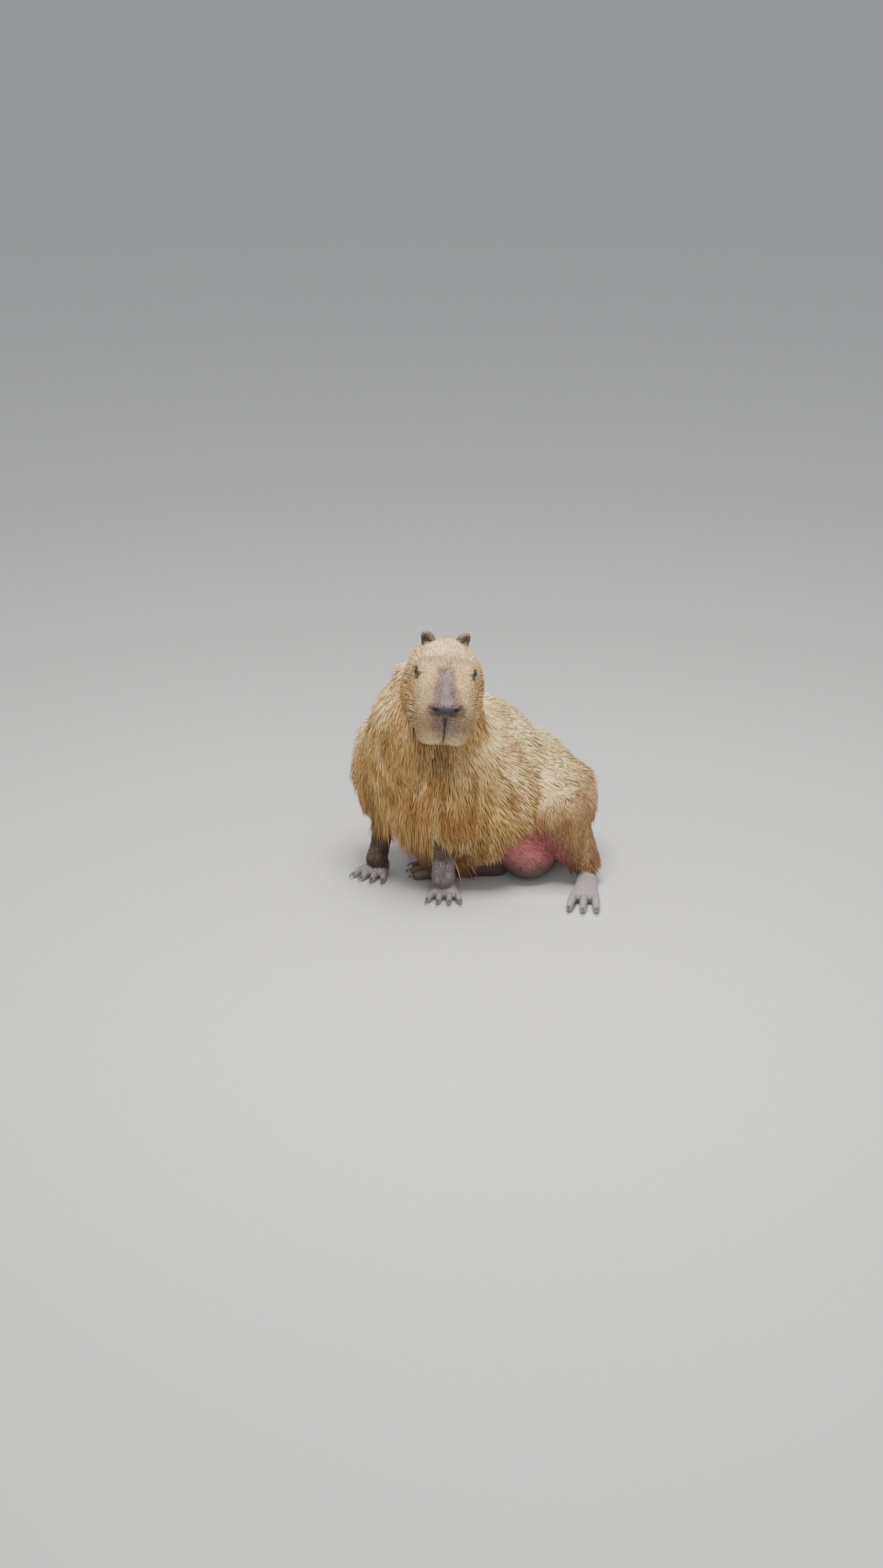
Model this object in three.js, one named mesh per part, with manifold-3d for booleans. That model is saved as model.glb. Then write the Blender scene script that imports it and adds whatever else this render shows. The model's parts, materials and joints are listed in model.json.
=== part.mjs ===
// A capybara sitting on its right haunch with its head turned to its left.
// Lengths are in millimetres. +Z is up, the chest faces -Y and the animal's left is +X.

import * as THREE from "three";
import { mergeVertices } from "three/addons/utils/BufferGeometryUtils.js";
import Module from "manifold-3d";

const wasm = await Module();
wasm.setup();

// Sizes that drive the whole animal
const GAP = 0.4; // space left between two parts that meet
const HEAD_LENGTH = 262; // nape to the front of the nose
const HEAD_TURN = 38; // degrees the head looks to its left
const HEAD_DIP = 13; // degrees the nose points down
const HEAD_ROLL = 3.5; // degrees the left eye is lower than the right
const NAPE = [186, 36, 626]; // where the middle line of the head starts
const EYE_APART = 130; // between the middles of the two eyes
const EYE_HIGH = 39; // height of the eyes in the head's own frame
const EYE_RADIUS = 11;
const EAR_TALL = 46;
const EAR_WIDE = 38;
const NOSE_WIDE = 78;
const MOUTH_DEEP = 4; // how far the closed mouth's line is pressed in
const MOUTH_LOW = -84; // height of that line in the head's own frame
const FOREFOOT_WIDE = 92;
const HINDFOOT_WIDE = 88;
const CLAW_LONG = 17;
const CLAW_WIDE = 10;

// Colours read from the photo by eye
const SUNLIT_FUR = "#c9b08a";
const BODY_FUR = "#a98d63";
const FACE_FUR = "#a89274";
const EAR_SKIN = "#6b6166";
const LEG_SKIN = "#574c49";
const FOOT_SKIN = "#6d6570";
const CLAW_HORN = "#6b6263";
const EYE_DARK = "#17110e";

const UP = new THREE.Vector3(0, 0, 1);

const vector = (list) => new THREE.Vector3(...list);

// A closed skin of points and triangles becomes a solid that faces outwards.
function solidOf(points, faces) {
  let volume = 0;
  for (const [a, b, c] of faces) {
    volume += points[a].dot(points[b].clone().cross(points[c]));
  }
  const turned = volume < 0 ? faces.map(([a, b, c]) => [a, c, b]) : faces;
  const mesh = new wasm.Mesh({
    numProp: 3,
    vertProperties: new Float32Array(points.flatMap((p) => [p.x, p.y, p.z])),
    triVerts: new Uint32Array(turned.flat()),
  });
  return new wasm.Manifold(mesh);
}

// A value between listed stations, run smoothly through them.
function smoothThrough(list, t) {
  const last = list.length - 1;
  const place = Math.min(Math.max(t, 0), 1) * last;
  const i = Math.min(Math.floor(place), last - 1);
  const u = place - i;
  const p0 = list[Math.max(i - 1, 0)];
  const p1 = list[i];
  const p2 = list[i + 1];
  const p3 = list[Math.min(i + 2, last)];
  const bend = 2 * p0 - 5 * p1 + 4 * p2 - p3;
  const twist = 3 * p1 - p0 - 3 * p2 + p3;
  return p1 + 0.5 * u * (p2 - p0 + u * (bend + u * twist));
}

const power = (value, exponent) => Math.sign(value) * Math.abs(value) ** exponent;

// A limb or trunk: ovals of changing size set square to a bending middle line.
class Sweep {
  // at: middle points. half: [across, deep] at each. side: the way "across" points.
  constructor({ at, half, side, rings, sides, boxy = 2.2, egg = 0, caps = [0.6, 0.6], round = 2 }) {
    Object.assign(this, { at, half, side: vector(side), rings, sides, boxy, egg, caps, round });
  }

  middle(t) {
    const along = (axis) => smoothThrough(this.at.map((p) => p[axis]), t);
    return new THREE.Vector3(along(0), along(1), along(2));
  }

  axes(t) {
    const step = 0.08;
    const tangent = this.middle(Math.min(t + step, 1)).sub(this.middle(Math.max(t - step, 0)));
    tangent.normalize();
    const across = this.side.clone().addScaledVector(tangent, -this.side.dot(tangent));
    across.normalize();
    const deep = across.clone().cross(tangent);
    return { tangent, across, deep };
  }

  // A point of the skin at t along and angle round, moved out by grow.
  skin(t, angle, grow = 0, shrink = 1, shift = 0) {
    const { tangent, across, deep } = this.axes(t);
    const a = smoothThrough(this.half.map((h) => h[0]), t);
    const d = smoothThrough(this.half.map((h) => h[1]), t);
    const v = power(Math.sin(angle), 2 / this.boxy);
    const u = power(Math.cos(angle), 2 / this.boxy) * (1 - this.egg * v);
    return this.middle(t)
      .addScaledVector(across, u * (a * shrink + grow))
      .addScaledVector(deep, v * (d * shrink + grow))
      .addScaledVector(tangent, shift);
  }

  solid(grow = 0) {
    const profile = [];
    const ends = [0, 1].map((t) => {
      const small = Math.min(
        smoothThrough(this.half.map((h) => h[0]), t),
        smoothThrough(this.half.map((h) => h[1]), t),
      );
      return this.caps[t] * small + grow;
    });
    for (let i = this.round - 1; i > 0; i -= 1) {
      const rise = (i / this.round) * (Math.PI / 2);
      profile.push([0, Math.cos(rise), -ends[0] * Math.sin(rise)]);
    }
    for (let i = 0; i <= this.rings; i += 1) {
      profile.push([i / this.rings, 1, 0]);
    }
    for (let i = 1; i < this.round; i += 1) {
      const rise = (i / this.round) * (Math.PI / 2);
      profile.push([1, Math.cos(rise), ends[1] * Math.sin(rise)]);
    }
    const points = [];
    for (const [t, shrink, shift] of profile) {
      for (let k = 0; k < this.sides; k += 1) {
        const angle = (k / this.sides) * Math.PI * 2;
        points.push(this.skin(t, angle, grow * shrink, shrink, shift));
      }
    }
    const faces = [];
    const n = this.sides;
    for (let r = 0; r < profile.length - 1; r += 1) {
      for (let k = 0; k < n; k += 1) {
        const next = (k + 1) % n;
        faces.push([r * n + k, r * n + next, (r + 1) * n + next]);
        faces.push([r * n + k, (r + 1) * n + next, (r + 1) * n + k]);
      }
    }
    const first = points.length;
    points.push(this.middle(0).addScaledVector(this.axes(0).tangent, -ends[0]));
    points.push(this.middle(1).addScaledVector(this.axes(1).tangent, ends[1]));
    const lastRing = (profile.length - 1) * n;
    for (let k = 0; k < n; k += 1) {
      const next = (k + 1) % n;
      faces.push([first, next, k]);
      faces.push([first + 1, lastRing + k, lastRing + next]);
    }
    return solidOf(points, faces);
  }
}

// A rounded lump with its own three half sizes, turned by a matrix.
class Lump {
  constructor({ at, half, frame = new THREE.Matrix4(), boxy = 2, rows = 6, sides = 10 }) {
    Object.assign(this, { at: vector(at), half, frame, boxy, rows, sides });
  }

  solid(grow = 0) {
    const place = (row, k) => {
      const tilt = (row / this.rows - 0.5) * Math.PI;
      const round = (k / this.sides) * Math.PI * 2;
      const e = 2 / this.boxy;
      const flat = power(Math.cos(tilt), e);
      const local = new THREE.Vector3(
        flat * power(Math.cos(round), e) * (this.half[0] + grow),
        flat * power(Math.sin(round), e) * (this.half[1] + grow),
        power(Math.sin(tilt), e) * (this.half[2] + grow),
      );
      return local.add(this.at).applyMatrix4(this.frame);
    };
    const points = [];
    for (let row = 1; row < this.rows; row += 1) {
      for (let k = 0; k < this.sides; k += 1) {
        points.push(place(row, k));
      }
    }
    const n = this.sides;
    const faces = [];
    for (let r = 0; r < this.rows - 2; r += 1) {
      for (let k = 0; k < n; k += 1) {
        const next = (k + 1) % n;
        faces.push([r * n + k, r * n + next, (r + 1) * n + next]);
        faces.push([r * n + k, (r + 1) * n + next, (r + 1) * n + k]);
      }
    }
    const low = points.length;
    points.push(place(0, 0));
    points.push(place(this.rows, 0));
    const lastRing = (this.rows - 2) * n;
    for (let k = 0; k < n; k += 1) {
      const next = (k + 1) % n;
      faces.push([low, next, k]);
      faces.push([low + 1, lastRing + k, lastRing + next]);
    }
    return solidOf(points, faces);
  }
}

// The same run of chance numbers every time
function chanceFrom(seed) {
  let state = seed;
  return () => {
    state = (state * 1664525 + 1013904223) % 4294967296;
    return state / 4294967296;
  };
}

// One lock of coat: a flat blade rooted under the skin, which follows the skin along its lie,
// bends, tapers and lifts clear at its tip.
class Lock {
  // t, angle: root on the sweep. lie: [along, round] direction. long, wide, thick, lift: sizes.
  constructor({ sweep, t, angle, lie, long, wide, thick, lift, bend }) {
    Object.assign(this, { sweep, t, angle, lie, long, wide, thick, lift, bend });
  }

  // The skin's point and outward direction after a walk of this many millimetres from the root
  walk(distance) {
    const { sweep } = this;
    const step = 0.02;
    const lowT = Math.max(this.t - step, 0);
    const highT = Math.min(this.t + step, 1);
    const alongSpeed = sweep.middle(highT).distanceTo(sweep.middle(lowT)) / (highT - lowT);
    const here = sweep.skin(this.t, this.angle);
    const roundSpeed = here.distanceTo(sweep.middle(this.t));
    const turn = this.bend * (distance / this.long);
    const along = this.lie[0] * Math.cos(turn) - this.lie[1] * Math.sin(turn);
    const round = this.lie[0] * Math.sin(turn) + this.lie[1] * Math.cos(turn);
    const t = Math.min(Math.max(this.t + (along * distance) / alongSpeed, 0), 1);
    const angle = this.angle + (round * distance) / roundSpeed;
    const point = sweep.skin(t, angle);
    const out = point.clone().sub(sweep.middle(t)).normalize();
    return { point, out };
  }

  solid(grow = 0) {
    const shape = [
      [0, -this.thick * 1.6, 0.7, 1],
      [0.35, -this.thick * 0.35, 1, 1],
      [0.7, this.lift * 0.45, 0.72, 0.75],
    ];
    const places = [0, 0.35, 0.7, 1].map((part) => this.walk(part * this.long));
    const tipAt = places[3].point.clone().addScaledVector(places[3].out, this.lift + grow * 0.5);
    const points = [];
    shape.forEach(([, rise, wide, thick], i) => {
      const { point, out } = places[i];
      const ahead = places[i + 1].point.clone().sub(point).normalize();
      const across = ahead.clone().cross(out).normalize();
      const low = point.clone().addScaledVector(out, rise - grow);
      const reach = (this.wide * wide) / 2 + grow;
      points.push(low.clone().addScaledVector(across, -reach));
      points.push(low.clone().addScaledVector(out, this.thick * thick + 2 * grow));
      points.push(low.clone().addScaledVector(across, reach));
    });
    points.push(tipAt);
    const faces = [[0, 1, 2]];
    for (const row of [0, 3]) {
      for (let k = 0; k < 3; k += 1) {
        const next = (k + 1) % 3;
        faces.push([row + k, row + 3 + k, row + 3 + next]);
        faces.push([row + k, row + 3 + next, row + next]);
      }
    }
    for (let k = 0; k < 3; k += 1) {
      faces.push([6 + k, 9, 6 + ((k + 1) % 3)]);
    }
    return solidOf(points, faces);
  }
}

// Rows of locks over part of a sweep, each row set half a step round from the one before it.
function coatOf(sweep, { from, to, rows, each, round, lie, long, wide, thick, lift, seed }) {
  const chance = chanceFrom(seed);
  const spread = (amount) => 1 + amount * (chance() - 0.5);
  const locks = [];
  for (let row = 0; row < rows; row += 1) {
    const t = from + ((to - from) * row) / Math.max(rows - 1, 1);
    for (let k = 0; k < each; k += 1) {
      const part = (k + (row % 2) * 0.5 + 0.25 * (chance() - 0.5)) / each;
      locks.push(
        new Lock({
          sweep,
          t,
          angle: round[0] + (round[1] - round[0]) * part,
          lie,
          long: long * spread(0.35),
          wide: wide * spread(0.3),
          thick: thick * spread(0.25),
          lift: lift * spread(0.6),
          bend: 0.5 * (chance() - 0.5),
        }),
      );
    }
  }
  return locks;
}

const joined = (forms, grow = 0) =>
  forms.map((form) => form.solid(grow)).reduce((whole, next) => whole.add(next));

// Only the largest closed piece of a solid is kept.
function largestOf(solid) {
  const pieces = solid.decompose();
  return pieces.reduce((best, next) => (next.volume() > best.volume() ? next : best));
}

// The head's own frame: x forward to the nose, y to the head's left, z up.
const headFrame = new THREE.Matrix4()
  .makeTranslation(...NAPE)
  .multiply(new THREE.Matrix4().makeRotationZ(THREE.MathUtils.degToRad(HEAD_TURN - 90)))
  .multiply(new THREE.Matrix4().makeRotationY(THREE.MathUtils.degToRad(HEAD_DIP)))
  .multiply(new THREE.Matrix4().makeRotationX(THREE.MathUtils.degToRad(-HEAD_ROLL)));

const inHead = (list) => vector(list).applyMatrix4(headFrame).toArray();
const headLeft = new THREE.Vector3(0, 1, 0).transformDirection(headFrame).toArray();

// Skull, cheeks and muzzle: [forward, top, bottom, half width] down the head
const HEAD_LINES = [
  [0, 60, -92, 70],
  [36, 74, -102, 80],
  [80, 74, -108, 92],
  [122, 61, -104, 87],
  [165, 46, -96, 78],
  [205, 39, -92, 73],
  [240, 30, -90, 68],
];
const skull = new Sweep({
  at: HEAD_LINES.map(([s, top, low]) => inHead([s, 0, (top + low) / 2])),
  half: HEAD_LINES.map(([, top, low, wide]) => [wide, (top - low) / 2]),
  side: headLeft,
  rings: 10,
  sides: 18,
  boxy: 2.5,
  egg: -0.1,
  caps: [0.5, 0.32],
  round: 3,
});

const headLump = (at, half, more = {}) => new Lump({ at, half, frame: headFrame, ...more });
const NOSE_FRONT = HEAD_LENGTH;
const nosePad = headLump([NOSE_FRONT - 16, 0, 15], [17, NOSE_WIDE / 2, 15], { boxy: 2.6 });
const frontLip = headLump([NOSE_FRONT - 18, 0, -30], [18, 33, 36], { boxy: 2.6 });
const lipLobes = [-1, 1].map((way) =>
  headLump([NOSE_FRONT - 30, way * 34, -56], [24, 34, 40], { boxy: 2.4 }),
);
const chin = headLump([NOSE_FRONT - 50, 0, -88], [30, 34, 16], { boxy: 2.3 });
const scentGland = headLump([182, 0, 34], [52, 20, 16], { rows: 6, sides: 12 });
const browRidges = [-1, 1].map((way) =>
  headLump([119, way * (EYE_APART / 2 - 9), EYE_HIGH + 10], [24, 15, 13]),
);
const nostrils = [-1, 1].map((way) =>
  headLump([NOSE_FRONT - 2, way * 27, 17], [10, 8, 4.5], { rows: 4, sides: 8 }),
);
const philtrum = headLump([NOSE_FRONT + 3, 0, -30], [6, 2, 34], { rows: 6, sides: 6 });
const eyes = [-1, 1].map((way) =>
  headLump([127, way * (EYE_APART / 2 + 1), EYE_HIGH], [EYE_RADIUS, EYE_RADIUS, EYE_RADIUS]),
);
const lids = [-1, 1].map((way) =>
  headLump([125, way * (EYE_APART / 2 - 2), EYE_HIGH], [19, 13, 15]),
);
const lidOpenings = [-1, 1].map((way) =>
  headLump([129, way * (EYE_APART / 2 + 12), EYE_HIGH], [13, 10, 6.5]),
);

const headForms = [
  skull, nosePad, frontLip, ...lipLobes, chin, scentGland, ...browRidges, ...lids,
];

// The closed mouth is a shallow line round the front of the muzzle.
const mouthLine = {
  solid() {
    const slit = headLump([NOSE_FRONT - 52, 0, MOUTH_LOW], [54, 90, 1.5], {
      boxy: 3, rows: 3, sides: 14,
    });
    return slit.solid().subtract(joined(headForms, -MOUTH_DEEP));
  },
};

// Each ear is a short rounded cup
const earAt = (way) => [22, way * 40, 59];
const earTurn = (way) =>
  headFrame
    .clone()
    .multiply(new THREE.Matrix4().makeTranslation(...earAt(way)))
    .multiply(new THREE.Matrix4().makeRotationX(-way * 0.32))
    .multiply(new THREE.Matrix4().makeRotationZ(way * 0.5));
const earForms = [-1, 1].map((way) => ({
  cup: new Lump({
    at: [0, 0, 6],
    half: [13, EAR_WIDE / 2, EAR_TALL / 2 + 6],
    frame: earTurn(way),
    sides: 12,
  }),
  hollow: new Lump({
    at: [13, 0, 10],
    half: [15, EAR_WIDE / 2 - 6, EAR_TALL / 2 - 2],
    frame: earTurn(way),
  }),
}));

// Trunk, neck and limbs
const trunk = new Sweep({
  at: [
    [98, -52, 385],
    [104, -16, 378],
    [122, 50, 338],
    [164, 155, 273],
    [214, 255, 213],
    [262, 340, 150],
    [288, 398, 122],
  ],
  half: [
    [82, 106],
    [116, 140],
    [150, 168],
    [174, 210],
    [180, 186],
    [160, 148],
    [118, 120],
  ],
  side: [1, 0, 0],
  rings: 11,
  sides: 22,
  boxy: 2.2,
  egg: 0.06,
  caps: [0.45, 0.5],
});
const groin = new Lump({ at: [318, 232, 74], half: [86, 92, 78], sides: 12 });
const neck = new Sweep({
  at: [
    [126, 40, 400],
    [152, 16, 465],
    [174, 12, 535],
    [186, 26, 600],
  ],
  half: [
    [128, 146],
    [122, 136],
    [108, 118],
    [92, 96],
  ],
  side: [1, 0, 0],
  rings: 6,
  sides: 16,
  caps: [0.3, 0.3],
});

const limb = (at, half, side, more = {}) =>
  new Sweep({ at, half, side, rings: 6, sides: 12, ...more });

const upperArms = {
  right: limb(
    [[10, 62, 400], [-8, 45, 320], [-4, 34, 240], [2, 30, 170]],
    [[62, 92], [62, 84], [48, 62], [34, 42]],
    [1, 0, 0],
  ),
  left: limb(
    [[232, 46, 400], [240, 24, 320], [236, 4, 260], [226, -6, 208]],
    [[66, 94], [62, 84], [50, 64], [38, 46]],
    [1, 0, 0],
  ),
};
const forearms = {
  right: limb(
    [[2, 32, 190], [3, 30, 130], [-2, 24, 80], [-2, 8, 44]],
    [[30, 36], [27, 31], [25, 28], [30, 30]],
    [1, 0, 0],
  ),
  left: limb(
    [[222, -6, 236], [224, -6, 170], [220, -2, 105], [216, 2, 52]],
    [[34, 40], [30, 34], [27, 30], [31, 31]],
    [1, 0, 0],
  ),
};
const thighs = {
  left: limb(
    [[270, 380, 150], [310, 320, 196], [356, 262, 228], [392, 222, 232]],
    [[104, 112], [112, 118], [92, 98], [68, 74]],
    [0, 0, 1],
    { sides: 16 },
  ),
  right: limb(
    [[215, 400, 150], [150, 340, 125], [95, 280, 100], [50, 235, 84]],
    [[110, 118], [112, 108], [92, 92], [70, 74]],
    [0, 0, 1],
    { sides: 16 },
  ),
};
const shanks = {
  left: limb(
    [[396, 226, 236], [408, 250, 170], [428, 282, 100], [446, 300, 46]],
    [[72, 66], [66, 58], [48, 48], [36, 38]],
    [0.79, 0.61, 0],
  ),
  right: limb(
    [[60, 225, 66], [120, 218, 54], [190, 216, 42], [236, 212, 34]],
    [[58, 56], [48, 46], [38, 36], [32, 30]],
    [0, 0, 1],
  ),
};

// A foot: a flat palm, its toes and a claw at the end of each toe
function footOf({ heel, toe, wide, palmTall, toeCount, toeLong, toeTall, spread }) {
  const from = vector([...heel, 0]);
  const to = vector([...toe, 0]);
  const ahead = to.clone().sub(from);
  const length = ahead.length();
  ahead.normalize();
  const left = UP.clone().cross(ahead);
  const frame = new THREE.Matrix4().makeBasis(ahead, left, UP).setPosition(from);
  const toScene = (x, y, z) => new THREE.Vector3(x, y, z).applyMatrix4(frame).toArray();
  const palmLong = length - toeLong;
  const palm = new Sweep({
    at: [
      toScene(palmLong * 0.12, 0, palmTall * 0.5),
      toScene(palmLong * 0.55, 0, palmTall * 0.46),
      toScene(palmLong * 0.98, 0, palmTall * 0.4),
    ],
    half: [
      [wide * 0.27, palmTall * 0.55],
      [wide * 0.33, palmTall * 0.52],
      [wide * 0.42, palmTall * 0.42],
    ],
    side: left.toArray(),
    rings: 3,
    sides: 10,
    boxy: 2.3,
    caps: [0.8, 0.5],
  });
  const toes = [];
  const claws = [];
  const pitch = wide / toeCount;
  for (let i = 0; i < toeCount; i += 1) {
    const off = i - (toeCount - 1) / 2;
    const angle = off * spread;
    const reach = toeLong * (1 - 0.07 * off * off);
    const root = palmLong * 0.86;
    const place = (along, z) =>
      toScene(root + along * Math.cos(angle), off * pitch * 0.84 + along * Math.sin(angle), z);
    const end = reach + palmLong * 0.14;
    toes.push(
      new Sweep({
        at: [place(0, toeTall * 0.6), place(end * 0.55, toeTall * 0.62), place(end, toeTall * 0.4)],
        half: [
          [pitch * 0.42, toeTall * 0.5],
          [pitch * 0.4, toeTall * 0.56],
          [pitch * 0.33, toeTall * 0.42],
        ],
        side: left.toArray(),
        rings: 2,
        sides: 6,
        caps: [0.5, 0.7],
      }),
    );
    const clawAt = (along, z) => place(end + along, z);
    claws.push(
      new Sweep({
        at: [
          clawAt(0, toeTall * 0.62),
          clawAt(CLAW_LONG * 0.6, toeTall * 0.55),
          clawAt(CLAW_LONG, toeTall * 0.32),
        ],
        half: [
          [CLAW_WIDE * 0.52, CLAW_WIDE * 0.42],
          [CLAW_WIDE * 0.44, CLAW_WIDE * 0.36],
          [CLAW_WIDE * 0.24, CLAW_WIDE * 0.22],
        ],
        side: left.toArray(),
        rings: 2,
        sides: 5,
        caps: [0.5, 0.6],
        round: 1,
      }),
    );
  }
  return { palm, toes, claws };
}

const FORE = { wide: FOREFOOT_WIDE, palmTall: 40, toeCount: 4, toeLong: 38, toeTall: 25, spread: 0.2 };
const HIND = { wide: HINDFOOT_WIDE, palmTall: 44, toeCount: 3, toeLong: 62, toeTall: 30, spread: 0.12 };
const feet = {
  right_forefoot: footOf({ ...FORE, heel: [-12, 48], toe: [6, -42] }),
  left_forefoot: footOf({ ...FORE, heel: [200, 40], toe: [246, -36] }),
  left_hind_foot: footOf({ ...HIND, heel: [438, 326], toe: [550, 136] }),
  right_hind_foot: footOf({ ...HIND, heel: [262, 222], toe: [70, 66] }),
};

// Where the coat is long its locks lie back and down in overlapping rows
const TURN = Math.PI * 2;
const BODY_LOCK = { long: 125, wide: 62, thick: 13, lift: 13 };
const NECK_LOCK = { long: 105, wide: 54, thick: 12, lift: 12 };
const LIMB_LOCK = { long: 85, wide: 46, thick: 10, lift: 10 };
const coats = {
  trunk: coatOf(trunk, {
    ...BODY_LOCK, from: 0.2, to: 0.86, rows: 6, each: 8, round: [-0.62, Math.PI + 0.62],
    lie: [0.86, -0.5], seed: 11,
  }),
  neck: coatOf(neck, {
    ...NECK_LOCK, from: 0.74, to: 0.2, rows: 4, each: 8, round: [0, TURN], lie: [-1, 0], seed: 23,
  }),
  rightUpperArm: coatOf(upperArms.right, {
    ...LIMB_LOCK, from: 0.3, to: 0.72, rows: 3, each: 3, round: [2.1, 4.6], lie: [1, 0], seed: 31,
  }),
  leftUpperArm: coatOf(upperArms.left, {
    ...LIMB_LOCK, from: 0.3, to: 0.72, rows: 3, each: 3, round: [-1.5, 1.2], lie: [1, 0], seed: 37,
  }),
  rightThigh: coatOf(thighs.right, {
    ...LIMB_LOCK, from: 0.7, to: 0.25, rows: 3, each: 3, round: [-0.9, 1.2], lie: [-1, 0], seed: 41,
  }),
  leftThigh: coatOf(thighs.left, {
    ...LIMB_LOCK, from: 0.85, to: 0.35, rows: 3, each: 3, round: [-0.9, 1.2], lie: [-1, 0], seed: 43,
  }),
};

// The parts in the order they take their space: each gives way to those before it.
const nodes = [];
const addNode = (name, forms, colour, more = {}) =>
  nodes.push({ name, forms, colour, roughness: 0.9, openings: [], coat: [], ...more });

addNode("right_eye", [eyes[0]], EYE_DARK, { roughness: 0.12 });
addNode("left_eye", [eyes[1]], EYE_DARK, { roughness: 0.12 });
for (const [name, foot] of Object.entries(feet)) {
  foot.claws.forEach((claw, i) => {
    addNode(`${name}_claw_${i + 1}`, [claw], CLAW_HORN, { roughness: 0.5 });
  });
}
addNode("head", headForms, FACE_FUR, {
  openings: [...nostrils, philtrum, ...lidOpenings, mouthLine],
});
addNode("right_ear", [earForms[0].cup], EAR_SKIN, { openings: [earForms[0].hollow] });
addNode("left_ear", [earForms[1].cup], EAR_SKIN, { openings: [earForms[1].hollow] });
for (const [name, foot] of Object.entries(feet)) {
  addNode(name, [foot.palm, ...foot.toes], FOOT_SKIN, { roughness: 0.75 });
}
addNode("torso", [trunk, groin], BODY_FUR, { coat: coats.trunk });
addNode("neck", [neck], SUNLIT_FUR, { coat: coats.neck });
for (const way of ["right", "left"]) {
  addNode(`${way}_forearm`, [forearms[way]], LEG_SKIN, { roughness: 0.8 });
  addNode(`${way}_upper_arm`, [upperArms[way]], BODY_FUR, { coat: coats[`${way}UpperArm`] });
  addNode(`${way}_shank`, [shanks[way]], LEG_SKIN, { roughness: 0.8 });
  addNode(`${way}_thigh`, [thighs[way]], BODY_FUR, { coat: coats[`${way}Thigh`] });
}

// Everything stands on one level floor, so all that would pass below it is cut off flat.
const FLOOR_SPAN = 4000;
const floorShape = new THREE.BoxGeometry(FLOOR_SPAN, FLOOR_SPAN, FLOOR_SPAN);
floorShape.translate(0, 0, -FLOOR_SPAN / 2);
floorShape.deleteAttribute("normal");
floorShape.deleteAttribute("uv");
const floorMerged = mergeVertices(floorShape);
const floorBlock = new wasm.Manifold(
  new wasm.Mesh({
    numProp: 3,
    vertProperties: new Float32Array(floorMerged.attributes.position.array),
    triVerts: new Uint32Array(floorMerged.index.array),
  }),
);

function boxesTouch(a, b) {
  return [0, 1, 2].every((i) => a.min[i] - 1 < b.max[i] && b.min[i] - 1 < a.max[i]);
}

const group = new THREE.Group();
group.name = "capybara";
const cores = nodes.map((node) => joined(node.forms, GAP));
const taken = [];
nodes.forEach((node, i) => {
  let coat = null;
  if (node.coat.length > 0) {
    coat = joined(node.coat);
    cores.forEach((core, j) => {
      if (j !== i && boxesTouch(core.boundingBox(), coat.boundingBox())) {
        coat = coat.subtract(core);
      }
    });
  }
  let solid = coat ? joined(node.forms).add(coat) : joined(node.forms);
  for (const form of node.openings) {
    solid = solid.subtract(form.solid());
  }
  for (const before of taken) {
    if (boxesTouch(before.boundingBox(), solid.boundingBox())) {
      solid = solid.subtract(before);
    }
  }
  solid = largestOf(solid.subtract(floorBlock));
  const room = coat ? cores[i].add(joined(node.coat, GAP)) : cores[i];
  taken.push(room.add(solid));
  const { vertProperties, triVerts } = solid.getMesh();
  const geometry = new THREE.BufferGeometry();
  geometry.setAttribute("position", new THREE.BufferAttribute(vertProperties, 3));
  geometry.setIndex(new THREE.BufferAttribute(triVerts, 1));
  const material = new THREE.MeshStandardMaterial({
    color: node.colour,
    roughness: node.roughness,
    metalness: 0,
  });
  const mesh = new THREE.Mesh(mergeVertices(geometry), material);
  mesh.geometry.computeVertexNormals();
  mesh.name = node.name;
  group.add(mesh);
});

// The origin is on the floor under the middle of the animal's length and width
const bounds = new THREE.Box3().setFromObject(group);
const middle = bounds.getCenter(new THREE.Vector3());
group.position.set(-middle.x, -middle.y, 0);

export default group;
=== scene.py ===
# %% [markdown]
# # A capybara sitting on one haunch
#
# This notebook dresses the solids of a sitting capybara as a museum's still model would look.
# The solids give every place and size. One smooth skin is laid over them, and the coat is made
# of small solid tufts that follow the lie of the hair. Bare skin, eyes and claws are done apart.

# %% Tools
import json
import math

import bpy
import numpy as np
from mathutils import Matrix, Vector
from mathutils.bvhtree import BVHTree

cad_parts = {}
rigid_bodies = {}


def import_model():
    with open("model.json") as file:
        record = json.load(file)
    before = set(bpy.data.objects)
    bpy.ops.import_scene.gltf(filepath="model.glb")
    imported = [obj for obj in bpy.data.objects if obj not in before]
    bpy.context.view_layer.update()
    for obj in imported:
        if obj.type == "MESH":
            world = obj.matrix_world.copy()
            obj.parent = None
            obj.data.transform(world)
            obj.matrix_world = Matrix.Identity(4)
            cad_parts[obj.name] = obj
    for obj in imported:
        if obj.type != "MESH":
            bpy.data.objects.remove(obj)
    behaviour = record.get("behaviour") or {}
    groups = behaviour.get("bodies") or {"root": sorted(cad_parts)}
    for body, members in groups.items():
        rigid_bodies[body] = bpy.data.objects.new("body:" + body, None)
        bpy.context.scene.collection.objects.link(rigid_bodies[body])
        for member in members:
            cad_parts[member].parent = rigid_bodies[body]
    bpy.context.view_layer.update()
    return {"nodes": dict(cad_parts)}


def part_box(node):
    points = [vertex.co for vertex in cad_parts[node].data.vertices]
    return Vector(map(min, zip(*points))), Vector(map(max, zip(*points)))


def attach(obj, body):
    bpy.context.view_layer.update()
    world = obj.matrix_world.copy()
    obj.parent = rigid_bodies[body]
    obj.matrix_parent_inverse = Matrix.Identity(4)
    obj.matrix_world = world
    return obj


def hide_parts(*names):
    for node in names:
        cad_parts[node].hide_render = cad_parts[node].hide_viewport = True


for unwanted in list(bpy.data.objects):
    bpy.data.objects.remove(unwanted)

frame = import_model()
nodes = frame["nodes"]

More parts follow.
